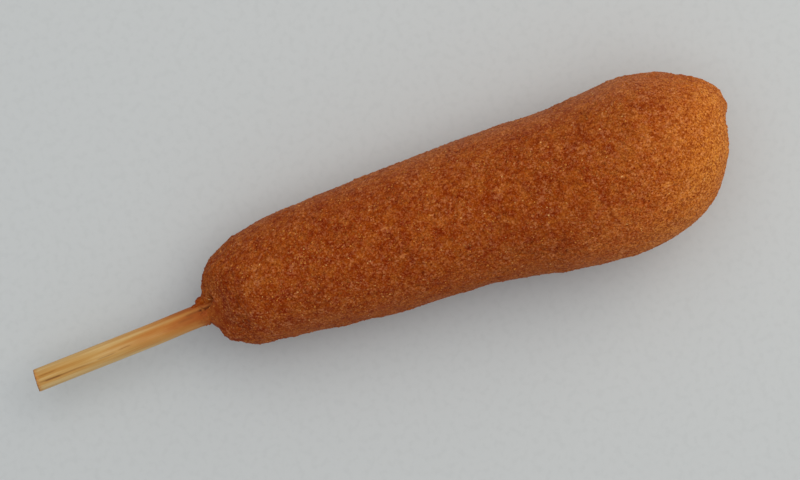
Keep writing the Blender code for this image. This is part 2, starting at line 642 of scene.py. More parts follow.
@dataclass(frozen=True)
class FriedBatter:
    """Deep-fried cornmeal batter: packed brown and golden grains with dark red-brown between them."""

    deep: Colour = tone(92, 17, 0)
    russet: Colour = tone(142, 48, 1)
    brown: Colour = tone(160, 68, 6)
    gold: Colour = tone(179, 92, 25)
    pale: Colour = tone(238, 163, 112)
    # the colour of the painted glints: highlights on grains, not a colour of the crust
    glint: Colour = tone(255, 198, 122)
    # also the colour of the painted shade in the slit and by the collar
    scorch: Colour = tone(120, 30, 0)
    film_dark: Colour = tone(138, 50, 6)
    film_pale: Colour = tone(184, 100, 38)
    head_russet: Colour = tone(192, 88, 18)
    head_gold: Colour = tone(216, 117, 36)
    head_pale: Colour = tone(238, 149, 62)
    head_deep: Colour = tone(136, 46, 0)
    tip_gold: Colour = tone(255, 168, 58)
    blush: Colour = tone(200, 60, 24)
    head_from: float = 36.0 * MM
    head_to: float = 78.0 * MM
    tip_from: float = 56.0 * MM
    tip_to: float = 82.0 * MM
    # head_lean draws the golden head further back on the -Y side: partly the crust's colour, partly painted
    # light from the lower right
    head_lean: float = 0.75

    def material(self) -> bpy.types.Material:
        """Makes the material.

        Returns:
            The material, which reads the piece's "relief", "scorch" and "glaze" attributes.
        """
        shader = Shader("fried_batter")
        axes = shader.axes()
        across = axes.amount("Y")
        along = axes.amount("X") - across * self.head_lean
        head = along.rise(self.head_from, self.head_to)
        base = self._mottled(shader, across, head, along.rise(self.tip_from, self.tip_to))
        fine = shader.clouds(0.35 * MM, 3.0, 0.13, 0.74)
        away, luck = shader.grains(0.46 * MM, 0.21)
        colour = self._glazed(shader, self._grained(shader, base, head, fine, away, luck))
        shader.surface_is(
            Base_Color=colour,
            Roughness=0.62 + shader.clouds(2.6 * MM, 2.0, 0.77) * 0.2,
            Normal=shader.bump(fine - away * 0.25, 0.11 * MM, 0.7),
            Specular_IOR_Level=0.02,
            Sheen_Weight=0.04,
            Sheen_Roughness=0.5,
        )
        return shader.material

    def _mottled(self, shader: Shader, across: Amount, head: Amount, tip: Amount) -> bpy.types.NodeSocket:
        """The broad colours: brown patches, redder and more golden sides, a golden head and its tip. The gold
        toward the -Y side is partly painted light, and the paler +Y edge is painted sheen.

        Args:
            shader: the shader to add them to.
            across: how far each place is to the +Y side.
            head: how far it is into the head, 0 to 1.
            tip: how far it is into the tip, 0 to 1.

        Returns:
            The colour.
        """
        patch = shader.clouds(1.9 * MM, 3.0, 0.77, 0.62) * 0.72 + shader.clouds(7.0 * MM, 2.0, 0.31) * 0.28
        body = shader.ramp(patch, ((0.38, self.russet), (0.49, self.brown), (0.62, self.gold)))
        stops = ((0.38, self.head_russet), (0.50, self.head_gold), (0.62, self.head_pale))
        golden = shader.ramp(patch, stops)
        spots = shader.clouds(2.6 * MM, 2.0, 0.49).rise(0.60, 0.72)
        return shader.layered(
            body,
            (self.russet, across.rise(3.0 * MM, -14.0 * MM) * 0.20),
            # the gold toward the -Y edge, here and two lines down, is partly the crust's colour and partly
            # painted light
            (self.gold, across.rise(-10.0 * MM, -17.0 * MM) * 0.42),
            (self.gold, across.rise(3.0 * MM, 14.0 * MM) * 0.15),
            (self.head_gold, across.rise(-7.0 * MM, -12.0 * MM) * 0.14),
            (golden, head * 0.72),
            (self.tip_gold, tip * 0.62),
            # painted sheen: paler along the +Y edge
            (self.pale, across.rise(12.0 * MM, 17.5 * MM) * 0.22),
            (self.blush, across.rise(-4.0 * MM, -12.0 * MM) * head * 0.17),
            (self.scorch, spots * 0.35),
            # this attribute holds real scorch spots and painted shade in the slit and by the collar
            (self.scorch, shader.painted("scorch")),
        )

    def _grained(
        self,
        shader: Shader,
        base: bpy.types.NodeSocket,
        head: Amount,
        fine: Amount,
        away: Amount,
        luck: Amount,
    ) -> bpy.types.NodeSocket:
        """The fine grain over the broad colours, which stands out more on the head, with painted glints,
        painted shade in small pits and painted shade in the relief's hollows.

        Args:
            shader: the shader to add it to.
            base: the broad colours.
            head: how far each place is into the head, 0 to 1.
            fine: the finest noise.
            away: how far it is from its grain's middle.
            luck: its grain's random share.

        Returns:
            The colour.
        """
        contrast = 1.0 + head * 0.95
        deep = shader.layered(self.deep, (self.head_deep, head * 0.85))
        sprinkled = 0.5 + shader.clouds(4.0 * MM, 2.0, 0.61).rise(0.40, 0.62) * 0.9
        # dark flecks that stand for the shade in small pits: painted shade
        pits = self._flecks(shader, 0.9 * MM, 0.83, 0.64, 0.26)
        # bright flecks that stand for glints of light on grains: painted highlights
        glints = self._flecks(shader, 0.8 * MM, 0.37, 0.84, 0.24)
        return shader.layered(
            base,
            (deep, fine.rise(0.54, 0.30) * contrast * 0.60),
            (self.pale, fine.rise(0.50, 0.76) * contrast * 0.44),
            (deep, luck.rise(0.42, 0.0) * contrast * 0.35),
            (self.pale, luck.rise(0.66, 1.0) * sprinkled * 0.18),
            (deep, away.rise(0.36, 0.70) * 0.22),
            (deep, pits * contrast * 0.66),
            (self.glint, glints * sprinkled * 0.55),
            # painted shade: darker where the relief sinks into hollows
            (deep, shader.painted("relief").rise(0.36, 0.16) * 0.55),
        )

    def _glazed(self, shader: Shader, colour: bpy.types.NodeSocket) -> bpy.types.NodeSocket:
        """Lays the smooth film that runs out on the stick over the grain."""
        glaze = shader.painted("glaze")
        smears = shader.clouds(0.9 * MM, 2.0, 0.93).rise(0.36, 0.66)
        film = shader.layered(self.film_dark, (self.film_pale, glaze + smears * 0.40 - 0.35))
        return shader.layered(colour, (film, glaze.rise(0.0, 0.30) * 0.85))

    @staticmethod
    def _flecks(shader: Shader, apart: float, seed: float, rare: float, reach: float) -> Amount:
        """Small round flecks.

        Args:
            shader: the shader to add them to.
            apart: how far apart their cells are.
            seed: moves the pattern.
            rare: the share of the cells that have none.
            reach: a fleck's radius, in cells.

        Returns:
            Where they are, 0 to 1.
        """
        away, luck = shader.grains(apart, seed)
        return luck.rise(rare, rare + 0.1) * away.rise(reach, reach * 0.45)


@dataclass(frozen=True)
class Cornmeal:
    """Grains of cornmeal, from toasted brown to pale gold."""

    name: str
    dark: Colour = tone(140, 60, 10)
    light: Colour = tone(214, 136, 58)
    head: Colour = tone(206, 112, 34)

    def material(self) -> bpy.types.Material:
        """Makes the material, which reads the piece's "tone" attribute."""
        shader = Shader(self.name)
        along = shader.axes().amount("X")
        colour = shader.layered(
            self.dark,
            (self.light, shader.painted("tone")),
            (self.dark, shader.clouds(0.4 * MM).rise(0.55, 0.75) * 0.4),
            (self.head, along.rise(FriedBatter.head_from, FriedBatter.head_to) * 0.5),
        )
        shader.surface_is(Base_Color=colour, Roughness=0.6, Specular_IOR_Level=0.12)
        return shader.material


@dataclass(frozen=True)
class OiledBirch:
    """A pale birch dowel, softly streaked along its grain and darker where the oil has soaked in."""

    pale: Colour = tone(214, 178, 118)
    # the colour of the painted light along the stick's sides
    edge: Colour = tone(222, 190, 138)
    straw: Colour = tone(198, 152, 86)
    streak: Colour = tone(184, 128, 58)
    end_face: Colour = tone(206, 140, 76)
    end_grain: Colour = tone(164, 100, 46)
    oiled: Colour = tone(190, 116, 50)
    soaked: Colour = tone(158, 70, 18)
    # this colour also paints the shade in the slit and on the sawn end's rim
    crack: Colour = tone(104, 46, 14)

    def material(self, line: StickLine) -> bpy.types.Material:
        """Makes the material.

        Args:
            line: where the stick runs, so that the grain follows it.

        Returns:
            The material, which reads the piece's "soak", "crack", "flank", "film" and "sawn" attributes.
        """
        shader = Shader("oiled_birch")
        place = line.grain_coordinates(shader)
        fibres = self._streaks(shader, place, 0.22 * MM, 60.0, 2.0)
        bands = self._streaks(shader, place, 1.10 * MM, 26.0, 2.0)
        stains = self._streaks(shader, place, 1.5 * MM, 3.5, 3.0)
        crumbly = shader.clouds(0.6 * MM, 3.0, 0.4, 0.7)
        grainy = shader.clouds(0.40 * MM, 2.0, 0.17, 0.7)
        soak = shader.painted("soak") + (stains - 0.5) * (12.0 * MM)
        film = shader.painted("film")
        sawn = shader.painted("sawn")
        end_face = shader.layered(self.end_face, (self.end_grain, grainy.rise(0.46, 0.60) * 0.7))
        colour = shader.layered(
            shader.ramp(bands, ((0.36, self.streak), (0.50, self.straw), (0.64, self.pale))),
            # painted light: paler along both sides, most on the -Y side
            (self.edge, shader.painted("flank") * 0.50),
            (self.streak, fibres.rise(0.50, 0.34) * 0.22),
            (self.oiled, soak.rise(10.0 * MM, 34.0 * MM) * 0.85),
            (self.soaked, soak.rise(26.0 * MM, 38.0 * MM) * 0.75),
            (self.soaked, film * (0.55 + stains.rise(0.35, 0.60) * 0.45)),
            (self.crack, film * crumbly.rise(0.50, 0.66) * 0.55),
            (self.straw, film * crumbly.rise(0.46, 0.32) * 0.25),
            (end_face, sawn.rise(0.0, 0.5) * 0.72),
            # painted shade on the rounded outer rim of the sawn end
            (self.crack, sawn.rise(0.6, 1.0) * 0.60),
            # the cracks' own dark, and painted shade in the slit by the collar
            (self.crack, shader.painted("crack")),
        )
        shader.surface_is(
            Base_Color=colour,
            Roughness=0.56 + fibres * 0.2,
            Normal=shader.bump(fibres * 0.7 + bands * 0.3 + film * crumbly, 0.08 * MM, 0.7),
            Specular_IOR_Level=0.15,
        )
        return shader.material

    @staticmethod
    def _streaks(
        shader: Shader, place: bpy.types.NodeSocket, width: float, stretch: float, detail: float
    ) -> Amount:
        """Noise drawn out along the grain.

        Args:
            shader: the shader to add it to.
            place: coordinates whose X runs along the grain.
            width: how wide the streaks are.
            stretch: how much longer than wide they are.
            detail: how many finer layers they have.

        Returns:
            The noise, 0 to 1.
        """
        return shader.noise(shader.mapped(place, Scale=(1.0 / stretch, 1.0, 1.0)), width, detail, 0.6)


@dataclass(frozen=True)
class PaleTable:
    """The plain pale surface under the corn dog."""

    colour: Colour = tone(203, 205, 206)
    fleck: Colour = tone(200, 202, 203)

    def material(self) -> bpy.types.Material:
        """Makes the material."""
        shader = Shader("pale_table")
        colour = shader.layered(self.colour, (self.fleck, shader.clouds(1.6 * MM, 3.0).rise(0.45, 0.70)))
        shader.surface_is(Base_Color=colour, Roughness=0.8, Specular_IOR_Level=0.1)
        return shader.material


# --- Pieces ----------------------------------------------------------------------------------------------


@dataclass
class StickLine:
    """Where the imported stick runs.

    Attributes:
        free_end: the middle of its free end.
        inner_end: the middle of the end inside the batter.
        radius: its radius.
    """

    free_end: Vector
    inner_end: Vector
    radius: float

    @classmethod
    def of(cls, node: bpy.types.Object) -> StickLine:
        """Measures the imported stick.

        Args:
            node: the stick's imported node.

        Returns:
            Its line.
        """
        points = Bench.points(node)
        near_end = 3.0 * MM
        low = points[points[:, 0] < points[:, 0].min() + near_end].mean(axis=0)
        high = points[points[:, 0] > points[:, 0].max() - near_end].mean(axis=0)
        way = (high - low) / np.linalg.norm(high - low)
        along = (points - low) @ way
        away = np.linalg.norm(points - low - along[:, None] * way, axis=1)
        return cls(Vector(low + way * along.min()), Vector(low + way * along.max()), float(away.max()))

    @property
    def way(self) -> Vector:
        """The direction from the free end into the batter."""
        return (self.inner_end - self.free_end).normalized()

    @property
    def length(self) -> float:
        """The stick's whole length."""
        return (self.inner_end - self.free_end).length

    def frame(self) -> Matrix:
        """The matrix that takes local X onto the stick from its free end, with local Z nearly up."""
        forward = self.way
        side = Vector((0.0, 0.0, 1.0)).cross(forward).normalized()
        upward = forward.cross(side)
        turn = Matrix((forward, side, upward)).transposed()
        return Matrix.Translation(self.free_end) @ turn.to_4x4()

    def measure(self, points: np.ndarray) -> tuple[np.ndarray, np.ndarray, np.ndarray]:
        """Distance along the stick from its free end, distance from its axis, and the way out from the axis.

        Args:
            points: places, one row each.

        Returns:
            The three arrays.
        """
        offsets = points - np.array(self.free_end)
        along = offsets @ np.array(self.way)
        outward = offsets - along[:, None] * np.array(self.way)
        away = np.linalg.norm(outward, axis=1)
        return along, away, outward / np.maximum(away, 1e-9)[:, None]

    def grain_coordinates(self, shader: Shader) -> bpy.types.NodeSocket:
        """Object coordinates turned so that X runs along the stick."""
        turn = self.frame().to_3x3().inverted()
        back = -(turn @ self.free_end)
        return shader.mapped(shader.place, Rotation=tuple(turn.to_euler()), Location=tuple(back))


@dataclass(frozen=True)
class Cluster:
    """A soft round place on the crust where there is more of something.

    Attributes:
        middle: its middle.
        reach: how wide it is.
        extra: how much more there is at its middle.
    """

    middle: tuple[float, float, float]
    reach: float
    extra: float


@dataclass(frozen=True)
class Clusters:
    """Soft round places on the crust that add up."""

    members: Sequence[Cluster] = ()

    @classmethod
    def of(cls, unit: float, *rows: Sequence[float]) -> Clusters:
        """Makes them from rows in millimetres.

        Args:
            unit: the unit of what there is more of: MM for a depth, or 1 for a share.
            *rows: the x, y, z, reach and extra of each.

        Returns:
            The places.
        """
        members = []
        for x, y, z, reach, extra in rows:
            members.append(Cluster((x * MM, y * MM, z * MM), reach * MM, extra * unit))
        return cls(tuple(members))

    def density(self, places: np.ndarray) -> np.ndarray:
        """How much more there is at each place, from all of them."""
        found = np.zeros(len(places))
        for member in self.members:
            away = np.linalg.norm(places - np.array(member.middle), axis=1)
            found += member.extra * bell(away, member.reach)
        return found


@dataclass(frozen=True)
class Crack:
    """A fine split that runs along the stick.

    Attributes:
        start: how far from the free end it starts.
        end: how far from the free end it ends.
        angle: where it is round the stick.
        turn: how far round it drifts on its way.
        width: how wide it is.
        depth: how deep it is.
        dark: how dark it is, 0 to 1.
        waver: how far round it wavers to each side.
        waves: how fast it wavers along its way.
    """

    start: float
    end: float
    angle: float
    turn: float
    width: float
    depth: float
    dark: float
    waver: float = 0.05
    waves: float = 260.0

    @classmethod
    def of(
        cls, lengths: Sequence[float], angles: Sequence[float], cut: Sequence[float], dark: float
    ) -> Crack:
        """Makes one from millimetres and degrees.

        Args:
            lengths: its start and end.
            angles: its angle and turn.
            cut: its width and depth.
            dark: how dark it is, 0 to 1.

        Returns:
            The crack.
        """
        start, end, width, depth = (length * MM for length in (*lengths, *cut))
        return cls(start, end, math.radians(angles[0]), math.radians(angles[1]), width, depth, dark)

    def share(self, along: np.ndarray, angle: np.ndarray, radius: float) -> np.ndarray:
        """How much of the crack's depth each place has.

        Args:
            along: the places' distances from the free end.
            angle: where they are round the stick.
            radius: the stick's radius.

        Returns:
            The shares, 0 to 1.
        """
        way = (along - self.start) / (self.end - self.start)
        every = np.ones(len(along))
        wander = soft_noise(np.column_stack([along * self.waves, 5.0 * every, self.angle * every]))
        middle = self.angle + self.turn * way + self.waver * wander
        off = np.angle(np.exp(1j * (angle - middle))) * radius
        ends = climb(along - self.start, -1.0 * MM, 0.0) * smooth_step((1.0 - way) * 3.0)
        return bell(off, self.width) * ends


# The slit between the tongue and the bare wedge: its dark, on the crust and on the stick, is painted shade in
# the crevice.
SLIT = Crack.of((37.9, 41.4), (62.0, 4.5), (0.25, 0.30), 0.9)
SCORCHES_AND_SHADE = Clusters.of(
    1.0,
    (20.9, 8.8, 27.0, 1.3, 0.55),
    (-1.2, 9.8, 26.0, 1.3, 0.45),
    (35.5, 1.7, 31.0, 1.9, 0.45),
    (46.3, 7.6, 30.0, 1.8, 0.40),
    (62.0, 9.5, 28.0, 4.2, 0.32),
    (57.8, 4.6, 30.0, 1.4, 0.35),
    (35.9, -9.5, 25.0, 4.0, 0.40),
    (51.2, -11.5, 25.0, 2.4, 0.35),
    (-7.0, 6.6, 27.0, 1.6, 0.35),
    (-22.0, -8.0, 21.0, 2.6, 0.35),
    # These two, by the collar, are partly scorch and partly painted shade where the crust meets the stick.
    (-31.0, -4.0, 18.0, 2.6, 0.30),
    (-33.7, -3.2, 19.0, 2.4, 0.30),
    (44.2, -16.2, 16.0, 1.7, 0.50),
)
HOLLOWS = Clusters.of(
    MM,
    (76.6, 1.8, 13.0, 3.0, 0.46),
    (76.6, 1.8, 17.0, 3.0, 0.46),
    (76.6, 1.8, 21.0, 3.0, 0.46),
    (76.2, -3.0, 17.0, 3.4, 0.46),
    (76.8, 5.6, 17.0, 1.9, -1.0),
    (56.4, 17.6, 15.0, 2.8, 0.22),
    (46.0, -17.8, 15.0, 2.4, 0.22),
    (31.8, -16.6, 14.0, 1.8, 0.24),
    (13.2, 15.6, 14.0, 2.4, -0.28),
    (-21.0, 13.4, 12.0, 2.4, -0.22),
    (-34.4, 9.8, 14.0, 3.4, 0.45),
    (-35.4, -7.2, 12.5, 3.2, 0.28),
    (-38.2, 3.4, 13.0, 1.6, -0.35),
)
PALE_CLUSTERS = Clusters.of(
    1.0,
    (-15.4, 3.4, 27.0, 1.6, 9.0),
    (-21.6, -3.4, 26.0, 2.0, 8.0),
    (-14.0, 8.3, 25.0, 1.4, 5.0),
    (-23.9, -6.1, 24.0, 1.6, 5.0),
    (30.5, -11.0, 27.0, 1.2, 6.0),
    (35.0, -16.5, 15.0, 3.2, 6.0),
    (70.0, 3.0, 26.0, 6.0, 2.5),
)
RELIEF_RANGE = 0.6 * MM


def bare_wedge(angle: np.ndarray) -> np.ndarray:
    """How far into the narrow wedge of bare wood by the collar each angle round the stick is, 0 to 1."""
    return bell(angle - math.radians(54.0), math.radians(11.0))


def waisted(angle: np.ndarray) -> np.ndarray:
    """How far round to the side where the stick is waisted each angle is, 0 to 1."""
    return smooth_step(-1.4 * np.cos(angle))


@dataclass
class Crust:
    """The fried crust: a closed body wrapped on the batter's solid, with its relief.

    It starts as a small square grid at the collar, which is extruded ring by ring to the tip.

    Attributes:
        node: the batter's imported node.
        line: where the stick runs.
        low: the lowest corner of the solid's box.
        high: the highest corner of the solid's box.
        sides: how many squares the grid has along each side.
        slices: how many slices the cage has past the collar.
        levels: how many times the cage is subdivided.
        corner_share: how much larger than its section the first ring is.
        bore_margin: how far past the stick the solid's socket may reach.
        collar_length: how long the thin collar is.
        tongue_way: the way out from the stick's axis to the middle of the tongue.
        tongue_edge: how much of that way the tongue's edge points.
        tongue_stretch: how far the tongue is drawn out.
        tongue_taper: how much longer its fillet is.
        rim_set_back: how far back the rim lies, in collar lengths.
        rim_ragged: how ragged the rim is.
        rim_sunk: how far the rim is sunk in the stick.
        notch: how far the rim is notched over the bare wedge.
        notch_reach: how far from the stick the notch reaches.
        fillet: how long the rim's fillet is.
        set_back: how far the shoulder is set back.
        set_back_away: where it is, by the distance from the stick: none, all, all, none.
        set_back_angles: where it is, by the angle: none, all, all, none.
        glaze_reach: how far from the stick the smooth film reaches.
        glaze_angles: where the film is, by the angle: none, all, all, none.
        rest_fade: how high above the table the relief is at its full depth.
        slimming: how far the sides are drawn in.
        slimming_skew: how much more of that the -Y side has.
        slimming_ends: how far past the rim it starts and is full.
        reliefs: the layers of relief.
    """

    node: bpy.types.Object
    line: StickLine
    low: Vector
    high: Vector
    sides: int = 4
    slices: int = 21
    levels: int = 4
    corner_share: float = 1.06
    bore_margin: float = 0.45 * MM
    collar_length: float = 2.6 * MM
    tongue_way: tuple[float, float, float] = (0.0, 0.985, 0.17)
    tongue_edge: float = 0.78
    tongue_stretch: float = 1.6 * MM
    tongue_taper: float = 1.2 * MM
    rim_set_back: float = 0.40
    rim_ragged: float = 0.45 * MM
    rim_sunk: float = 0.12 * MM
    notch: float = 2.0 * MM
    notch_reach: float = 3.4 * MM
    fillet: float = 1.9 * MM
    set_back: float = 2.9 * MM
    set_back_away: Sequence[float] = (0.0, 5.0 * MM, 4.0 * MM, 15.0 * MM)
    set_back_angles: Sequence[float] = tuple(map(math.radians, (22.0, 82.0, 120.0, 170.0)))
    glaze_reach: float = 3.6 * MM
    glaze_angles: Sequence[float] = tuple(map(math.radians, (46.0, 60.0, 130.0, 165.0)))
    rest_fade: float = 1.2 * MM
    slimming: float = 0.24 * MM
    slimming_skew: float = 0.11 * MM
    slimming_ends: tuple[float, float] = (4.0 * MM, 19.0 * MM)
    reliefs: Sequence[Relief] = (
        Relief("swells", 3.6 * MM, 0.10 * MM, 0.55, "fried"),
        Relief("pebbles", 0.75 * MM, 0.13 * MM, 0.62, "fried", {"noise_depth": 2}),
        Relief("pits", 0.80 * MM, 0.20 * MM, 1.0, "pitted", {"contrast": 4.0, "intensity": 1.65}),
    )

    def build(self) -> bpy.types.Object:
        """Makes the crust.

        Returns:
            The finished piece.
        """
        core = self._plugged_core()
        crust = self._cage(core)
        Bench.modify(crust, "SUBSURF", levels=self.levels, render_levels=self.levels)
        Bench.modify(crust, "SHRINKWRAP", target=core, wrap_method="NEAREST_SURFACEPOINT")
        Bench.modify(crust, "SMOOTH", factor=0.5, iterations=6)
        bpy.data.objects.remove(core)
        self._dent(crust)
        smooth = Bench.points(crust)
        facing = Bench.normals(crust)
        self._fry(crust)
        risen = np.einsum("ij,ij->i", Bench.points(crust) - smooth, facing)
        self._hug_stick(crust)
        Bench.modify(crust, "SMOOTH", factor=0.5, iterations=2, vertex_group="collar")
        rough = Bench.points(crust)
        slit, outward = self._slit(rough)
        rough -= outward * (SLIT.depth * slit)[:, None]
        rough[:, 2] = np.maximum(rough[:, 2], 0.0)
        Bench.move_points(crust, rough)
        # real scorch spots, plus painted shade in the slit and by the collar
        scorched = SCORCHES_AND_SHADE.density(rough) + SLIT.dark * slit
        Bench.paint(crust, relief=0.5 + risen / RELIEF_RANGE, scorch=np.clip(scorched, 0.0, 1.0))
        Bench.finish(crust, FriedBatter().material())
        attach(crust, BODY)
        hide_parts("batter")
        LOG.info("crust: %d faces", len(crust.data.polygons))
        return crust

    def _plugged_core(self) -> bpy.types.Object:
        """A joined-up copy of the batter's solid with the stick's socket closed off at the collar."""
        core = self.node.copy()
        core.data = self.node.data.copy()
        core.name = "core"
        core.parent = None
        bpy.context.scene.collection.objects.link(core)
        bore = self.line.radius + self.bore_margin
        inner = self.line.length + 2 * self.bore_margin
        past_rim = self.rim_along + 0.2 * MM
        with Bench.editing(core):
            bpy.ops.mesh.select_all(action="SELECT")
            bpy.ops.mesh.remove_doubles(threshold=1e-6)

            def in_socket(face: bmesh.types.BMFace) -> bool:
                """Whether a face belongs to the socket's wall or its blind end."""
                along, away, _outward = self.line.measure(np.array([corner.co for corner in face.verts]))
                return bool(away.max() < bore and past_rim < along.max() < inner)

            Bench.select(core, "faces", in_socket)
            bpy.ops.mesh.delete(type="FACE")
            bpy.ops.mesh.select_mode(type="EDGE")
            Bench.select(core, "edges", lambda edge: edge.is_boundary)
            bpy.ops.mesh.edge_face_add()
            bpy.ops.mesh.select_mode(type="FACE")
            bpy.ops.mesh.select_all(action="SELECT")
            bpy.ops.mesh.quads_convert_to_tris()
        return core

    @property
    def rim_along(self) -> float:
        """How far along the stick the batter's collar begins."""
        return float((self.low.x - self.line.free_end.x) / self.line.way.x)

    def _sections(self, core: bpy.types.Object, places: np.ndarray) -> list[tuple[Vector, float, float]]:
        """Measures the solid's sections.

        Args:
            core: the solid.
            places: where along X to measure.

        Returns:
            For each place, the section's middle, its half width and its half height.
        """
        tree = BVHTree.FromObject(core, bpy.context.evaluated_depsgraph_get())
        low, high = self.low, self.high
        entry = self.line.free_end + self.line.way * self.rim_along
        tip = Vector((high.x, (low.y + high.y) / 2, (low.z + high.z) / 2))
        found = []
        least = 0.5 * self.line.radius
        for place in places:
            share = (place - entry.x) / (tip.x - entry.x)
            middle = entry.lerp(tip, share)
            middle.x = place
            for _ in range(2):
                reach = [
                    tree.ray_cast(middle, Vector(way))[3] or 0.0
                    for way in ((0, 1, 0), (0, -1, 0), (0, 0, 1), (0, 0, -1))
                ]
                middle = middle + Vector((0.0, (reach[0] - reach[1]) / 2, (reach[2] - reach[3]) / 2))
            half_width, half_height = (reach[0] + reach[1]) / 2, (reach[2] + reach[3]) / 2
            found.append((middle, max(half_width, least), max(half_height, least)))
        return found

    def _ring_places(self, core: bpy.types.Object) -> np.ndarray:
        """Places along X for the cage's rings, evenly spaced along the body's outline."""
        low, high = self.low, self.high
        fine = np.linspace(low.x + 0.05 * MM, high.x - 0.15 * MM, 400)
        reach = np.array([section[1] for section in self._sections(core, fine)])
        along = np.concatenate([[0.0], np.cumsum(np.hypot(np.diff(fine), np.diff(reach)))])
        collar = along[np.searchsorted(fine, low.x + 0.5 * self.collar_length)]
        neck = along[np.searchsorted(fine, low.x + self.collar_length)]
        rings = np.concatenate([[0.0, collar], np.linspace(neck, along[-1], self.slices - 1)])
        return np.interp(rings, along, fine)

    def _cage(self, core: bpy.types.Object) -> bpy.types.Object:
        """Extrudes a square grid from the collar to the tip, each ring at its section's middle and size."""
        sections = self._sections(core, self._ring_places(core))
        middle, half_width, half_height = sections[0]
        Bench.clear_selection()
        bpy.ops.mesh.primitive_grid_add(
            x_subdivisions=self.sides,
            y_subdivisions=self.sides,
            size=1.0,
            location=middle,
            rotation=(0.0, -math.pi / 2, 0.0),
        )
        cage = Bench.name("crust")
        Bench.settle(cage)
        with Bench.editing(cage, "VERT"):
            bpy.ops.mesh.select_all(action="SELECT")
            self._round_ring(cage, middle, half_width * self.corner_share, half_height * self.corner_share)
            for before, after in zip(sections, sections[1:]):
                bpy.ops.mesh.extrude_region_move(TRANSFORM_OT_translate={"value": after[0] - before[0]})
                grow = (1.0, after[1] / before[1], after[2] / before[2])
                bpy.ops.transform.resize(value=grow, center_override=after[0])
            Bench.face_outward()
        return cage

    @staticmethod
    def _round_ring(cage: bpy.types.Object, middle: Vector, half_width: float, half_height: float) -> None:
        """Turns the square grid into a disc of this size, in edit mode."""
        mesh = bmesh.from_edit_mesh(cage.data)
        for corner in mesh.verts:
            across = (corner.co.y - middle.y) * 2.0
            upward = (corner.co.z - middle.z) * 2.0
            round_across = across * math.sqrt(1.0 - upward * upward / 2.0)
            round_upward = upward * math.sqrt(1.0 - across * across / 2.0)
            corner.co.y = middle.y + round_across * half_width
            corner.co.z = middle.z + round_upward * half_height
        bmesh.update_edit_mesh(cage.data)

    def _dent(self, crust: bpy.types.Object) -> None:
        """Sinks the broad hollows, and slims the sides by what the relief adds to them."""
        points = Bench.points(crust)
        facing = Bench.normals(crust)
        slim = self.slimming - self.slimming_skew * facing[:, 1]
        slim *= climb(points[:, 0] - self.low.x, *self.slimming_ends)
        inward = facing * HOLLOWS.density(points)[:, None] + facing * (1.0, 1.0, 0.0) * slim[:, None]
        Bench.move_points(crust, points - inward)

    def _fry(self, crust: bpy.types.Object) -> None:
        """Raises the fried relief: swells, pebbles and pits, which fade out at the collar and the table."""
        points = Bench.points(crust)
        along = self.line.measure(points)[0]
        past_collar = climb(along - self.rim_along, 1.2 * MM, 2.8 * MM)
        off_table = climb(points[:, 2], 0.0, self.rest_fade)
        Bench.group(crust, "fried", past_collar * (0.3 + 0.7 * off_table))
        patches = smooth_step(0.5 + 1.6 * soft_noise(points, 6.0 * MM))
        Bench.group(crust, "pitted", past_collar * off_table * patches)
        for layer in self.reliefs:
            layer.raise_on(crust)

    def _rim_line(self, outward: np.ndarray) -> np.ndarray:
        """How far along the stick the crust begins, for each way out from its axis.

        It reaches furthest out along the stick's +Y side, in a tongue, and least in the wedge above that.

        Args:
            outward: the ways out from the stick's axis.

        Returns:
            The distances from the stick's free end.
        """
        set_back = self.rim_set_back + (1.0 - self.rim_set_back) * bare_wedge(angle_round(outward))
        return self.rim_along + self.collar_length * set_back * (1.0 - self._tongue(outward))

    def _tongue(self, outward: np.ndarray) -> np.ndarray:
        """How far into the tongue each way out from the stick's axis points, 0 to 1."""
        return climb(outward @ np.array(self.tongue_way), self.tongue_edge, 1.0)

    def _slit(self, points: np.ndarray) -> tuple[np.ndarray, np.ndarray]:
        """How much the slit opens the film of batter at each corner, and the way out from the stick's axis."""
        along, away, outward = self.line.measure(points)
        near = climb(away - self.line.radius, 1.4 * MM, 0.8 * MM)
        return SLIT.share(along, angle_round(outward), self.line.radius) * near, outward

    def _hug_stick(self, crust: bpy.types.Object) -> None:
        """Draws the collar's rim in to the stick along a ragged line, with a notch over the bare wedge.

        Args:
            crust: the crust, which also gets its "collar" group and its "glaze" attribute.
        """
        points = Bench.points(crust)
        along, away, outward = self.line.measure(points)
        angle = angle_round(outward)
        past_rim = along - self.rim_along
        off_stick = away - self.line.radius
        sunk = self.line.radius - self.rim_sunk
        tongue = self._tongue(outward)
        from_rim = along - self._rim_line(outward) + soft_noise(points, 1.3 * MM) * self.rim_ragged
        near = climb(off_stick, 2.0 * MM, 1.2 * MM)
        share = climb(from_rim, 0.0, self.fillet + self.tongue_taper * tongue)
        wanted = np.minimum(sunk + (away - sunk) * share, away)
        moved = points + outward * (near * (wanted - away))[:, None]
        drawn = self.tongue_stretch * tongue * climb(past_rim, self.collar_length, 0.0)
        notched = bare_wedge(angle) * climb(off_stick, self.notch_reach, 0.4 * self.notch_reach)
        notched *= climb(past_rim - self.collar_length, 3.0 * MM, 1.0 * MM)
        shoulder = between(away - sunk, *self.set_back_away) * climb(past_rim, 14.0 * MM, 6.0 * MM)
        shoulder *= between(angle, *self.set_back_angles)
        back = self.notch * notched + self.set_back * shoulder - near * drawn
        moved += np.array(self.line.way) * back[:, None]
        Bench.move_points(crust, moved)
        Bench.group(crust, "collar", climb(off_stick, 2.2 * MM, 0.6 * MM))
        film = np.clip(1.0 - (away - sunk) / self.glaze_reach, 0.0, 1.0)
        film *= between(angle, *self.glaze_angles) ** 2 * climb(from_rim, 6.0 * MM, 3.0 * MM)
        Bench.paint(crust, glaze=film)


class GritKind(Enum):
    """The kinds of grain that are half sunk in the crust."""

    PALE = "pale_grit"
    TOASTED = "toasted_grit"


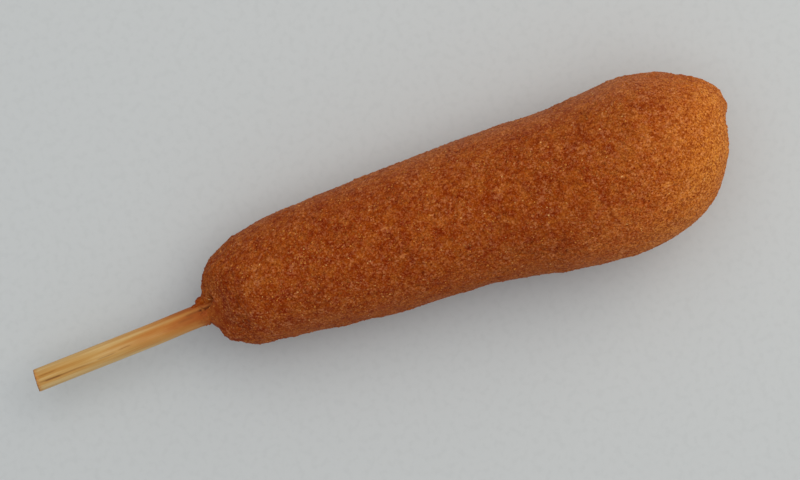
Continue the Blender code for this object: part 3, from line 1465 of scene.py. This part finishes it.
@dataclass
class Grit:
    """Grains of cornmeal scattered over the crust, half sunk in it.

    Attributes:
        kind: which grains they are.
        crust: the crust.
        count: how many there are.
        size: how wide a usual grain is.
        seed: the seed of the random draws.
        tones: the darkest and the lightest of them, 0 to 1.
        clusters: where there are more of them.
        sunk: how deep they are sunk, in half grains.
        size_spread: how much their sizes vary.
        size_limits: the smallest and the largest, in usual grains.
        dents: how uneven a grain is.
        flatness: how much of its width a grain is high.
    """

    kind: GritKind
    crust: bpy.types.Object
    count: int
    size: float
    seed: int
    tones: tuple[float, float]
    clusters: Clusters = Clusters()
    sunk: float = 0.35
    size_spread: float = 0.28
    size_limits: tuple[float, float] = (0.55, 1.9)
    dents: float = 0.13
    flatness: float = 0.72

    def build(self) -> bpy.types.Object:
        """Makes the grains as one piece.

        Returns:
            The finished piece.
        """
        random = np.random.default_rng(self.seed)
        places, facings = self._scatter(random)
        grain_points, grain_faces = self._grain()
        count = self.count
        sizes = self.size * np.clip(random.lognormal(0.0, self.size_spread, count), *self.size_limits)
        turns = self._turns(facings, random)
        shape = grain_points[None, :, :] * (0.75 + 0.5 * random.random((count, 1, 3)))
        shape += self.dents * random.standard_normal((count, len(grain_points), 3))
        shape[:, :, 2] *= self.flatness
        placed = np.einsum("nij,nkj->nki", turns, shape * sizes[:, None, None] / 2)
        placed += (places - facings * (sizes * self.sunk * 0.5)[:, None])[:, None, :]
        steps = np.arange(count)[:, None, None] * len(grain_points)
        faces = (grain_faces[None, :, :] + steps).reshape(-1, 3)
        mesh = bpy.data.meshes.new(self.kind.value)
        mesh.from_pydata(placed.reshape(-1, 3).tolist(), [], faces.tolist())
        piece = bpy.data.objects.new(self.kind.value, mesh)
        bpy.context.scene.collection.objects.link(piece)
        dark, light = self.tones
        tones = dark + (light - dark) * random.random(count) ** 1.8
        Bench.paint(piece, tone=np.repeat(tones, len(grain_points)))
        Bench.finish(piece, Cornmeal(self.kind.value).material())
        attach(piece, BODY)
        LOG.info("%s: %d grains, %d faces", self.kind.value, count, len(mesh.polygons))
        return piece

    @staticmethod
    def _grain() -> tuple[np.ndarray, np.ndarray]:
        """Models one grain, of unit size, and gives its corners and triangles."""
        grain = Bench.ball("grain", 1)
        points = Bench.points(grain)
        faces = np.array([polygon.vertices[:] for polygon in grain.data.polygons])
        bpy.data.objects.remove(grain)
        return points, faces

    def _scatter(self, random: np.random.Generator) -> tuple[np.ndarray, np.ndarray]:
        """Chooses where the grains lie.

        Args:
            random: the seeded source of random draws.

        Returns:
            Their places and the ways that the crust faces there.
        """
        mesh = self.crust.data
        mesh.calc_loop_triangles()
        triangles = np.array([triangle.vertices[:] for triangle in mesh.loop_triangles])
        corners = Bench.points(self.crust)[triangles]
        normal = np.cross(corners[:, 1] - corners[:, 0], corners[:, 2] - corners[:, 0])
        area = np.linalg.norm(normal, axis=1) / 2
        normal /= np.maximum(2 * area, 1e-15)[:, None]
        weight = area * self._density(corners.mean(axis=1))
        chosen = random.choice(len(area), self.count, p=weight / weight.sum())
        first, second = random.random((2, self.count))
        flipped = first + second > 1
        first[flipped], second[flipped] = 1 - first[flipped], 1 - second[flipped]
        base = corners[chosen]
        places = base[:, 0] + first[:, None] * (base[:, 1] - base[:, 0])
        places += second[:, None] * (base[:, 2] - base[:, 0])
        return places, normal[chosen]

    def _density(self, places: np.ndarray) -> np.ndarray:
        """How thickly the grains lie at each place: in patches, in clusters, and none where it rests."""
        patches = soft_noise(places, 5.0 * MM, (3, 1, 7))
        density = 0.35 + smooth_step(0.5 + 1.3 * patches) + self.clusters.density(places)
        density *= climb(places[:, 0] - places[:, 0].min(), 3.0 * MM, 4.4 * MM)
        return density * climb(places[:, 2], 0.6 * MM, 1.6 * MM)

    @staticmethod
    def _turns(facings: np.ndarray, random: np.random.Generator) -> np.ndarray:
        """A matrix for each grain that turns its Z to the way the crust faces, spun at random."""
        helper = random.standard_normal(facings.shape)
        across = np.cross(facings, helper)
        across /= np.linalg.norm(across, axis=1)[:, None]
        third = np.cross(facings, across)
        return np.stack([across, third, facings], axis=2)


@dataclass
class Dowel:
    """The round wooden stick, with open grain, fine cracks and a frayed, sawn end.

    Attributes:
        line: where the stick runs.
        rim_along: how far along it the batter's collar begins.
        around: how many sides it has.
        step: how far apart its rings are.
        shown_past_rim: how far past the collar's rim it has rings.
        grain_depth: how deep the open grain is.
        end_slant: how far the sawn end leans with height.
        end_skew: how far it leans with the +Y side.
        slant_fade: how far from the end that lean reaches.
        end_insets: how wide the rings of the sawn end are.
        end_round: how far the end's edge is rounded.
        fray_depth: how deep the end is frayed.
        dry_side: how much nearer the collar the dry side is soaked.
        film_from: how far before the rim the film of batter starts.
        film_to: how far before the rim it is whole.
        film_depth: how thick it is.
        film_ragged: how ragged its edge is.
        waist: how far the stick is waisted beside the collar.
        waist_ends: where that starts and is full.
        planed: how far it is planed toward its free end.
        planed_ends: where that starts and is full.
        cracks: its fine cracks.
    """

    line: StickLine
    rim_along: float
    around: int = 128
    step: float = 0.34 * MM
    shown_past_rim: float = 6.0 * MM
    grain_depth: float = 0.05 * MM
    end_slant: float = 0.17
    end_skew: float = 0.08
    slant_fade: float = 5.0 * MM
    end_insets: Sequence[float] = (0.10 * MM, 0.25 * MM, 0.35 * MM, 0.5 * MM, 0.6 * MM)
    end_round: float = 0.07 * MM
    fray_depth: float = 0.16 * MM
    dry_side: float = 9.5 * MM
    film_from: float = 3.6 * MM
    film_to: float = 1.2 * MM
    film_depth: float = 0.12 * MM
    film_ragged: float = 1.2 * MM
    waist: float = 0.26 * MM
    waist_ends: tuple[float, float] = (26.0 * MM, 35.0 * MM)
    planed: float = 0.11 * MM
    planed_ends: tuple[float, float] = (36.0 * MM, 26.0 * MM)
    cracks: Sequence[Crack] = (
        Crack.of((1.2, 14.5), (107.0, 3.0), (0.14, 0.10), 0.40),
        Crack.of((2.5, 6.4), (109.0, -1.0), (0.17, 0.16), 0.72),
        Crack.of((1.6, 5.5), (76.0, -3.0), (0.10, 0.08), 0.35),
        Crack.of((14.5, 18.5), (106.0, -3.0), (0.12, 0.06), 0.40),
        Crack.of((19.5, 22.0), (99.0, -3.0), (0.12, 0.06), 0.35),
        Crack.of((35.2, 37.8), (64.0, -2.0), (0.30, 0.05), 0.40),
        # the slit by the collar: its dark is painted shade in the crevice
        Crack.of((37.9, 43.5), (62.0, 7.0), (0.27, 0.45), 1.0),
        Crack.of((33.2, 36.6), (81.0, 2.0), (0.30, 0.02), 0.30),
    )

    def build(self) -> bpy.types.Object:
        """Makes the dowel.

        Returns:
            The finished piece.
        """
        shown = self.rim_along + self.shown_past_rim
        steps = round(shown / self.step)
        Bench.clear_selection()
        bpy.ops.mesh.primitive_circle_add(
            vertices=self.around, radius=self.line.radius, fill_type="NGON", rotation=(0.0, math.pi / 2, 0.0)
        )
        dowel = Bench.name("dowel")
        Bench.settle(dowel)
        with Bench.editing(dowel):
            bpy.ops.mesh.select_all(action="SELECT")
            for length in (*[shown / steps] * steps, self.line.length - shown):
                bpy.ops.mesh.extrude_region_move(TRANSFORM_OT_translate={"value": (length, 0.0, 0.0)})
            Bench.select(dowel, "faces", lambda face: abs(face.normal.x) > 0.9 and len(face.verts) > 4)
            for thickness in self.end_insets:
                bpy.ops.mesh.inset(thickness=thickness)
            bpy.ops.mesh.poke()
            Bench.face_outward()
        self._shape(dowel)
        dowel.data.transform(self.line.frame())
        Bench.finish(dowel, OiledBirch().material(self.line))
        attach(dowel, BODY)
        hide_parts("stick")
        LOG.info("dowel: %d faces", len(dowel.data.polygons))
        return dowel

    def _shape(self, dowel: bpy.types.Object) -> None:
        """Opens the grain, cuts the cracks and frays the end, while the dowel still lies along X.

        Args:
            dowel: the dowel, which also gets the attributes that its material reads.
        """
        points = Bench.points(dowel)
        along = points[:, 0].copy()
        away = np.hypot(points[:, 1], points[:, 2])
        off_skin = away - self.line.radius
        angle = angle_round(points)
        film = self._film(along, angle)
        lumps = soft_noise(points, 0.8 * MM)
        depth = self.grain_depth * soft_noise(unrolled(along, angle, 60.0, 8.0))
        dark = np.zeros(len(points))
        for crack in self.cracks:
            share = crack.share(along, angle, self.line.radius)
            depth -= crack.depth * share
            dark = np.maximum(dark, crack.dark * share)
        depth += film * self.film_depth * (0.8 + 1.4 * lumps)
        depth -= self.end_round * climb(along, 0.3 * MM, 0.0)
        depth -= self.planed * climb(along, *self.planed_ends)
        depth -= self.waist * climb(along, *self.waist_ends) * waisted(angle)
        depth *= climb(off_skin, -0.5 * MM, 0.0)
        points[:, 1:] *= (np.maximum(away + depth, 0.0) / np.maximum(away, 1e-9))[:, None]
        at_end = along < 1e-5
        fibres = np.column_stack([points[:, 1], points[:, 2] * 0.5, np.full(len(points), 0.4)])
        fray = soft_noise(fibres, 0.4 * MM)
        points[:, 0] += np.where(at_end, self.fray_depth * np.abs(fray), 0.0)
        slant = self.end_slant * np.clip(1.0 - along / self.slant_fade, 0.0, 1.0)
        points[:, 0] += slant * (points[:, 2] + self.end_skew / self.end_slant * points[:, 1])
        Bench.move_points(dowel, points)
        across = np.cos(angle)
        dry = np.maximum(smooth_step(-across), 0.8 * bare_wedge(angle))
        # ring is the sawn end's outer rim, which is darkened below as painted shade
        ring = climb(off_skin, -0.3 * MM, -0.1 * MM)
        sawn = 0.36 * climb(along - self.step, 1.0 * MM, 0.0)
        Bench.paint(
            dowel,
            soak=along - self.dry_side * dry,
            crack=dark,
            # painted light along the sides, strongest on the -Y side
            flank=np.abs(across) ** 3 * (1.15 - 0.25 * across),
            film=film,
            sawn=np.where(at_end, 0.5 + 0.5 * ring, sawn),
        )

    def _film(self, along: np.ndarray, angle: np.ndarray) -> np.ndarray:
        """How much of the thin film of batter beside the collar covers each place, 0 to 1.

        Args:
            along: the places' distances from the free end.
            angle: where they are round the stick.

        Returns:
            The shares: none on the bare wood, which shows up to the collar in one narrow wedge.
        """
        past_rim = along - self.rim_along - Crust.collar_length
        ragged = soft_noise(unrolled(along, angle, 500.0, 2.0)) * self.film_ragged
        film = climb(past_rim + ragged, -self.film_from, -self.film_to)
        return film * (1.0 - bare_wedge(angle) * (past_rim < 3.6 * MM))


@dataclass(frozen=True)
class Lump:
    """A rounded lump of batter on the stick.

    Attributes:
        along: how far its middle is from the stick's free end.
        angle: where it is round the stick.
        rise: how far its middle is above the stick's surface.
        reach: its half length, half width and half height.
    """

    along: float
    angle: float
    rise: float
    reach: tuple[float, float, float]


@dataclass
class CollarTongue:
    """The tongue of batter that runs out of the collar along the stick's +Y side.

    Attributes:
        line: where the stick runs.
        lumps: the lumps that it is made of.
        voxel: how fine its mesh is.
        relief: its relief.
        glaze: how smooth and filmy it looks, 0 to 1.
    """

    line: StickLine
    lumps: Sequence[Lump] = (
        Lump(38.6 * MM, math.radians(6.0), 0.20 * MM, (1.45 * MM, 1.30 * MM, 1.15 * MM)),
        Lump(37.4 * MM, math.radians(14.0), -0.30 * MM, (1.7 * MM, 1.0 * MM, 0.55 * MM)),
    )
    voxel: float = 0.09 * MM
    relief: Relief = Relief("tongue_lumps", 0.7 * MM, 0.30 * MM, settings={"noise_depth": 2})
    glaze: float = 0.18

    def build(self) -> bpy.types.Object:
        """Makes the tongue.

        Returns:
            The finished piece.
        """
        tongue = Bench.join([self._lump(lump) for lump in self.lumps], "collar_tongue")
        Bench.modify(tongue, "REMESH", mode="VOXEL", voxel_size=self.voxel)
        Bench.modify(tongue, "SMOOTH", factor=0.5, iterations=6)
        smooth = Bench.points(tongue)
        self.relief.raise_on(tongue)
        risen = np.linalg.norm(Bench.points(tongue) - smooth, axis=1)
        Bench.paint(tongue, relief=0.5 + risen / RELIEF_RANGE, scorch=0.0, glaze=self.glaze)
        Bench.finish(tongue, FriedBatter().material())
        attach(tongue, BODY)
        LOG.info("collar_tongue: %d faces", len(tongue.data.polygons))
        return tongue

    def _lump(self, lump: Lump) -> bpy.types.Object:
        """Models one lump: a ball, stretched and turned on to the stick."""
        ball = Bench.ball("lump", 4)
        turn = Matrix.Rotation(lump.angle - math.pi / 2, 4, "X")
        place = Matrix.Translation((lump.along, 0.0, self.line.radius + lump.rise))
        size = Matrix.Diagonal((*lump.reach, 1.0))
        ball.data.transform(self.line.frame() @ turn @ place @ size)
        return ball


@dataclass
class CollarCrumbs:
    """Crumbs of batter caught on the stick beside the collar.

    Attributes:
        line: where the stick runs.
        rim_along: how far along it the batter's collar begins.
        count: how many there are.
        seed: the seed of the random draws.
        spread: how widely they lie along the stick.
        sizes: the smallest and the largest radius.
        tone: how light they are, 0 to 1.
    """

    line: StickLine
    rim_along: float
    count: int = 30
    seed: int = 11
    spread: float = 0.6 * MM
    sizes: tuple[float, float] = (0.10 * MM, 0.24 * MM)
    tone: float = 0.3

    def build(self) -> bpy.types.Object:
        """Makes the crumbs as one piece.

        Returns:
            The finished piece.
        """
        random = np.random.default_rng(self.seed)
        crumbs = []
        for _ in range(self.count):
            past_rim = 0.6 * Crust.collar_length - abs(random.normal(0.0, self.spread))
            size = self.sizes[0] + (self.sizes[1] - self.sizes[0]) * random.random() ** 2
            crumbs.append(self._crumb(past_rim, random.uniform(0.0, 2.0 * math.pi), size))
        piece = Bench.join(crumbs, "collar_crumbs")
        Bench.paint(piece, tone=self.tone)
        Bench.finish(piece, Cornmeal("collar_crumbs", tone(150, 72, 22), tone(206, 132, 66)).material())
        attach(piece, BODY)
        LOG.info("collar_crumbs: %d crumbs", len(crumbs))
        return piece

    def _crumb(self, past_rim: float, angle: float, size: float) -> bpy.types.Object:
        """Models one crumb on the stick.

        Args:
            past_rim: how far past the collar's outermost rim it lies.
            angle: where it is round the stick.
            size: its radius.

        Returns:
            The crumb.
        """
        surface = self.line.radius - Dowel.waist * float(waisted(np.array(angle)))
        outward = Vector((0.0, math.cos(angle), math.sin(angle))) * (surface + 0.2 * size)
        place = self.line.frame() @ (Vector((self.rim_along + past_rim, 0.0, 0.0)) + outward)
        crumb = Bench.ball("crumb", 3, size, place)
        Bench.settle(crumb)
        points = Bench.points(crumb)
        middle = np.array(place)
        lumpy = 1.0 + 0.8 * soft_noise(points, size * 0.9)
        Bench.move_points(crumb, middle + (points - middle) * lumpy[:, None])
        return crumb


# --- Stage -----------------------------------------------------------------------------------------------


@dataclass
class Stage:
    """The table, the lights and the camera.

    Attributes:
        body_turn: how far the view is turned from the corn dog.
        plane_height: how high above the table the view's width is taken.
        camera_distance: how far above that the camera is.
        view_width: how wide the view is there.
        view_middle: the x and y of its middle.
        sensor_width: the width of the camera's sensor, in millimetres.
        nearest: how near to the camera things still show.
        table_size: how wide the table is.
        table_drop: how far its top is below the corn dog.
        room: the colour of the light all round.
        room_strength: how strong that light is.
    """

    body_turn: float = math.radians(18.64)
    plane_height: float = 0.014
    camera_distance: float = 0.450
    view_width: float = 0.166
    view_middle: tuple[float, float] = (0.0046, 0.00065)
    sensor_width: float = 36.0
    nearest: float = 0.01
    table_size: float = 3.0
    table_drop: float = 0.02 * MM
    room: Colour = (0.91, 0.97, 1.0)
    room_strength: float = 0.47

    def build(self) -> None:
        """Makes the stage."""
        self._table()
        self._camera()
        self._lights()
        bpy.context.scene.view_settings.view_transform = "Standard"

    def _table(self) -> None:
        """Adds the table's top just below the corn dog."""
        Bench.clear_selection()
        bpy.ops.mesh.primitive_plane_add(size=self.table_size, location=(0.0, 0.0, -self.table_drop))
        table = Bench.name("table")
        Bench.finish(table, PaleTable().material())

    def _camera(self) -> None:
        """Looks straight down, turned so that the corn dog climbs to the right."""
        data = bpy.data.cameras.new("camera")
        data.sensor_width = self.sensor_width
        data.sensor_fit = "HORIZONTAL"
        data.lens = self.sensor_width * self.camera_distance / self.view_width
        data.clip_start = self.nearest
        camera = bpy.data.objects.new("camera", data)
        camera.location = (*self.view_middle, self.plane_height + self.camera_distance)
        camera.rotation_euler = (0.0, 0.0, -self.body_turn)
        bpy.context.scene.collection.objects.link(camera)
        bpy.context.scene.camera = camera

    def _lights(self) -> None:
        """A soft room all round, a wide light overhead and a warmer one from the upper right."""
        world = bpy.data.worlds.new("room")
        world.use_nodes = True
        background = world.node_tree.nodes["Background"]
        background.inputs["Color"].default_value = (*self.room, 1.0)
        background.inputs["Strength"].default_value = self.room_strength
        bpy.context.scene.world = world
        self._area("overhead", (0.10, 0.15, 0.90), 1.2, 3.8, (1.0, 0.99, 0.98))
        right = Vector((math.cos(self.body_turn), -math.sin(self.body_turn), 0.0))
        upward = Vector((math.sin(self.body_turn), math.cos(self.body_turn), 0.0))
        window = (right * 1.4 + upward).normalized() * 0.60 + Vector((0.0, 0.0, 0.50))
        self._area("window", tuple(window), 0.7, 2.0, (1.0, 0.91, 0.76))

    @staticmethod
    def _area(name: str, place: Sequence[float], size: float, power: float, colour: Colour) -> None:
        """Adds a square light that faces the corn dog.

        Args:
            name: the light's name.
            place: where it hangs.
            size: its side.
            power: its power in watts.
            colour: its colour.
        """
        data = bpy.data.lights.new(name, "AREA")
        data.size = size
        data.energy = power
        data.color = colour
        light = bpy.data.objects.new(name, data)
        light.location = place
        light.rotation_euler = (-Vector(place)).to_track_quat("-Z", "Y").to_euler()
        bpy.context.scene.collection.objects.link(light)


def main() -> None:
    """Builds the corn dog's looks round its solids."""
    logging.basicConfig(level=logging.INFO, format="%(message)s", stream=sys.stdout)
    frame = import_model()
    line = StickLine.of(frame["nodes"]["stick"])
    maker = Crust(frame["nodes"]["batter"], line, *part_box("batter"))
    crust = maker.build()
    rim_along = maker.rim_along
    Grit(GritKind.PALE, crust, 6000, 0.32 * MM, 5, (0.25, 0.9), PALE_CLUSTERS).build()
    Grit(GritKind.TOASTED, crust, 9980, 0.38 * MM, 6, (0.0, 0.3)).build()
    Dowel(line, rim_along).build()
    CollarTongue(line).build()
    CollarCrumbs(line, rim_along).build()
    Stage().build()


if __name__ == "__main__":
    main()
